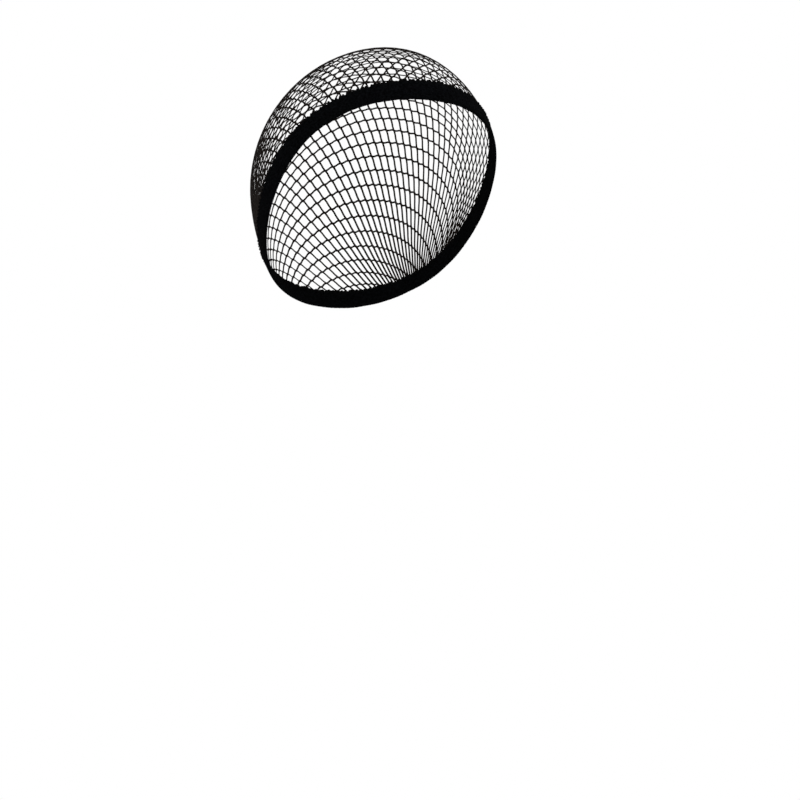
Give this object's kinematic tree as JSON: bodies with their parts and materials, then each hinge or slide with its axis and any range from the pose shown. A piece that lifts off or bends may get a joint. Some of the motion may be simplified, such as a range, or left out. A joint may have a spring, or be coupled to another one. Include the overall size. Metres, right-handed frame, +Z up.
{
  "type": "hairnet",
  "caption": "Dome-shaped open net hair cover on a wide closed stretch band that sits round the head from the forehead to the nape.",
  "frame": {"origin": "inside of the net at the top of the crown, where the top of a head meets it", "axes": "+Z up, the forehead side towards -Y, the wearer's left towards +X"},
  "size_m": [0.1504, 0.1857, 0.1392],
  "materials": {
    "net_yarn": "matt black-brown stretch yarn, open diamond mesh",
    "stretch_band": "matt black plush knitted elastic"
  },
  "bodies": {
    "root": {"crown_net": "net_yarn", "edge_band": "stretch_band"}
  },
  "joints": []
}
